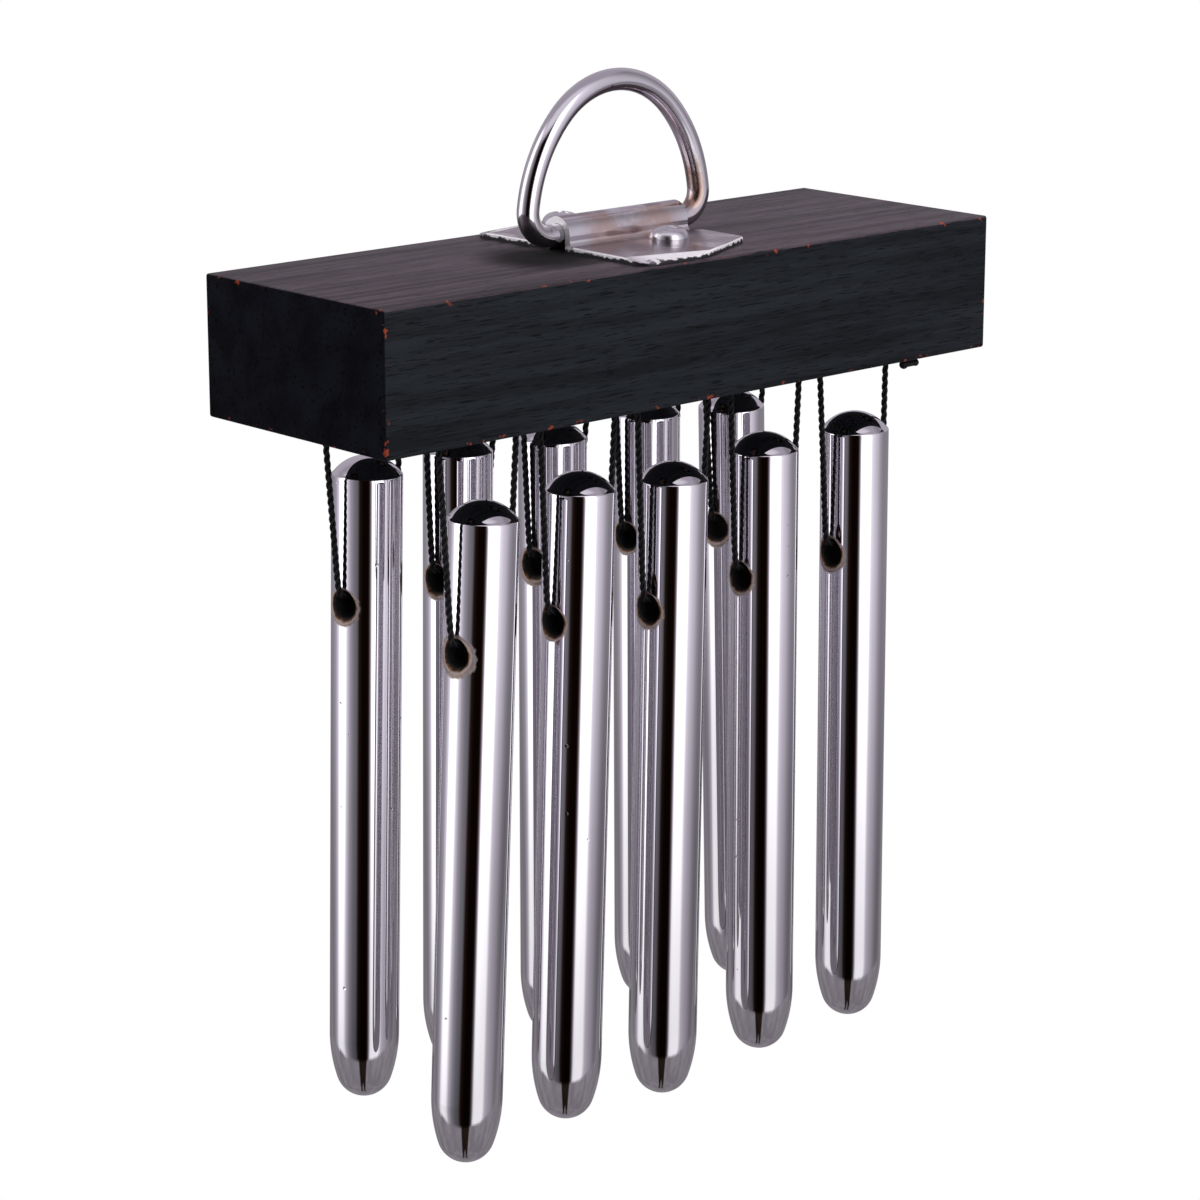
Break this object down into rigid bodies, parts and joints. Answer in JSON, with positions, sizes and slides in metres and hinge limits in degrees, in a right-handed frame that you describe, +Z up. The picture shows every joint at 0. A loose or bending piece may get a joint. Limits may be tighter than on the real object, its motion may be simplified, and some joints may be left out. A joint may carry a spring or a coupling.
{
  "type": "bar chimes",
  "caption": "Hand-held or hook-hung bar chimes: metal bars hang on cord loops in two rows under a wooden block, which swings from a D-ring held by a screwed saddle plate.",
  "frame": {"origin": "the middle of the D-ring's crown, on its inside, where a hook or hand carries the chimes", "axes": "+Z up, against the hang; +X along the wooden block and the rows of bars; -Y towards the player, with the front row"},
  "size_m": [0.146, 0.048, 0.1886],
  "materials": {
    "ring_chrome": "polished chrome plate on steel wire, lightly worn",
    "plate_chrome": "polished chrome plate on pressed steel sheet",
    "screw_chrome": "bright plated steel, dull dirt in the cross recess",
    "bar_chrome": "mirror chrome plate on turned steel, a few pits, rust at the drilled holes",
    "stained_wood": "open-grained hardwood stained black, satin, pores and grain lines showing",
    "peg_wood": "plain softwood peg, glued",
    "black_cord": "twisted black synthetic cord"
  },
  "bodies": {
    "ring": {"ring": "ring_chrome"},
    "beam": {"wood_block": "stained_wood", "saddle_plate": "plate_chrome", "plate_screws": "screw_chrome", "pegs_front": "peg_wood", "pegs_rear": "peg_wood", "cord_ends_front": "black_cord", "cord_ends_rear": "black_cord", "cord_tail": "black_cord"},
    "loop_front_1": {"cord_front_1": "black_cord"},
    "bar_front_1": {"bar_front_1": "bar_chrome"},
    "loop_front_2": {"cord_front_2": "black_cord"},
    "bar_front_2": {"bar_front_2": "bar_chrome"},
    "loop_front_3": {"cord_front_3": "black_cord"},
    "bar_front_3": {"bar_front_3": "bar_chrome"},
    "loop_front_4": {"cord_front_4": "black_cord"},
    "bar_front_4": {"bar_front_4": "bar_chrome"},
    "loop_front_5": {"cord_front_5": "black_cord"},
    "bar_front_5": {"bar_front_5": "bar_chrome"},
    "loop_rear_1": {"cord_rear_1": "black_cord"},
    "bar_rear_1": {"bar_rear_1": "bar_chrome"},
    "loop_rear_2": {"cord_rear_2": "black_cord"},
    "bar_rear_2": {"bar_rear_2": "bar_chrome"},
    "loop_rear_3": {"cord_rear_3": "black_cord"},
    "bar_rear_3": {"bar_rear_3": "bar_chrome"},
    "loop_rear_4": {"cord_rear_4": "black_cord"},
    "bar_rear_4": {"bar_rear_4": "bar_chrome"},
    "loop_rear_5": {"cord_rear_5": "black_cord"},
    "bar_rear_5": {"bar_rear_5": "bar_chrome"}
  },
  "joints": [
    {"name": "beam_tilt", "type": "hinge", "parent": "ring", "child": "beam", "pos_m": [0, 0, -0.0242], "axis": [1, 0, 0], "range_deg": [-85, 85]},
    {"name": "swing_front_1", "type": "hinge", "parent": "beam", "child": "loop_front_1", "pos_m": [-0.046, -0.0155, -0.0529], "axis": [1, 0, 0], "range_deg": [-45, 7]},
    {"name": "rock_front_1", "type": "hinge", "parent": "loop_front_1", "child": "bar_front_1", "pos_m": [-0.04591, -0.0155, -0.08902], "axis": [0.9915, 0.1219, -0.045], "range_deg": [-30, 8]},
    {"name": "swing_front_2", "type": "hinge", "parent": "beam", "child": "loop_front_2", "pos_m": [-0.023, -0.0155, -0.0529], "axis": [1, 0, 0], "range_deg": [-45, 7]},
    {"name": "rock_front_2", "type": "hinge", "parent": "loop_front_2", "child": "bar_front_2", "pos_m": [-0.02327, -0.0155, -0.08744], "axis": [0.9989, 0.0349, -0.0314], "range_deg": [-30, 8]},
    {"name": "swing_front_3", "type": "hinge", "parent": "beam", "child": "loop_front_3", "pos_m": [0, -0.0155, -0.0529], "axis": [1, 0, 0], "range_deg": [-45, 7]},
    {"name": "rock_front_3", "type": "hinge", "parent": "loop_front_3", "child": "bar_front_3", "pos_m": [-0.00043, -0.0155, -0.08915], "axis": [0.9985, 0.0523, -0.0174], "range_deg": [-30, 8]},
    {"name": "swing_front_4", "type": "hinge", "parent": "beam", "child": "loop_front_4", "pos_m": [0.023, -0.0155, -0.0529], "axis": [1, 0, 0], "range_deg": [-45, 7]},
    {"name": "rock_front_4", "type": "hinge", "parent": "loop_front_4", "child": "bar_front_4", "pos_m": [0.02303, -0.0155, -0.08715], "axis": [1, 0, 0.0052], "range_deg": [-30, 8]},
    {"name": "swing_front_5", "type": "hinge", "parent": "beam", "child": "loop_front_5", "pos_m": [0.046, -0.0155, -0.0529], "axis": [1, 0, 0], "range_deg": [-45, 7]},
    {"name": "rock_front_5", "type": "hinge", "parent": "loop_front_5", "child": "bar_front_5", "pos_m": [0.04711, -0.0155, -0.08675], "axis": [0.9994, -0.0349, 0.0087], "range_deg": [-30, 8]},
    {"name": "swing_rear_1", "type": "hinge", "parent": "beam", "child": "loop_rear_1", "pos_m": [-0.046, 0.0155, -0.0529], "axis": [1, 0, 0], "range_deg": [-7, 45]},
    {"name": "rock_rear_1", "type": "hinge", "parent": "loop_rear_1", "child": "bar_rear_1", "pos_m": [-0.04564, 0.0155, -0.08634], "axis": [0.9899, 0.1392, -0.0259], "range_deg": [-8, 30]},
    {"name": "swing_rear_2", "type": "hinge", "parent": "beam", "child": "loop_rear_2", "pos_m": [-0.023, 0.0155, -0.0529], "axis": [1, 0, 0], "range_deg": [-7, 45]},
    {"name": "rock_rear_2", "type": "hinge", "parent": "loop_rear_2", "child": "bar_rear_2", "pos_m": [-0.02434, 0.0155, -0.08535], "axis": [0.9847, 0.1736, -0.0138], "range_deg": [-8, 30]},
    {"name": "swing_rear_3", "type": "hinge", "parent": "beam", "child": "loop_rear_3", "pos_m": [0, 0.0155, -0.0529], "axis": [1, 0, 0], "range_deg": [-7, 45]},
    {"name": "rock_rear_3", "type": "hinge", "parent": "loop_rear_3", "child": "bar_rear_3", "pos_m": [-0.0012, 0.0155, -0.08635], "axis": [0.9781, 0.2079, 0], "range_deg": [-8, 30]},
    {"name": "swing_rear_4", "type": "hinge", "parent": "beam", "child": "loop_rear_4", "pos_m": [0.023, 0.0155, -0.0529], "axis": [1, 0, 0], "range_deg": [-7, 45]},
    {"name": "rock_rear_4", "type": "hinge", "parent": "loop_rear_4", "child": "bar_rear_4", "pos_m": [0.02277, 0.0155, -0.08515], "axis": [0.9945, 0.1045, 0.0069], "range_deg": [-8, 30]},
    {"name": "swing_rear_5", "type": "hinge", "parent": "beam", "child": "loop_rear_5", "pos_m": [0.046, 0.0155, -0.0529], "axis": [1, 0, 0], "range_deg": [-7, 45]},
    {"name": "rock_rear_5", "type": "hinge", "parent": "loop_rear_5", "child": "bar_rear_5", "pos_m": [0.04569, 0.0155, -0.08694], "axis": [0.9778, 0.2079, 0.0273], "range_deg": [-8, 30]}
  ]
}
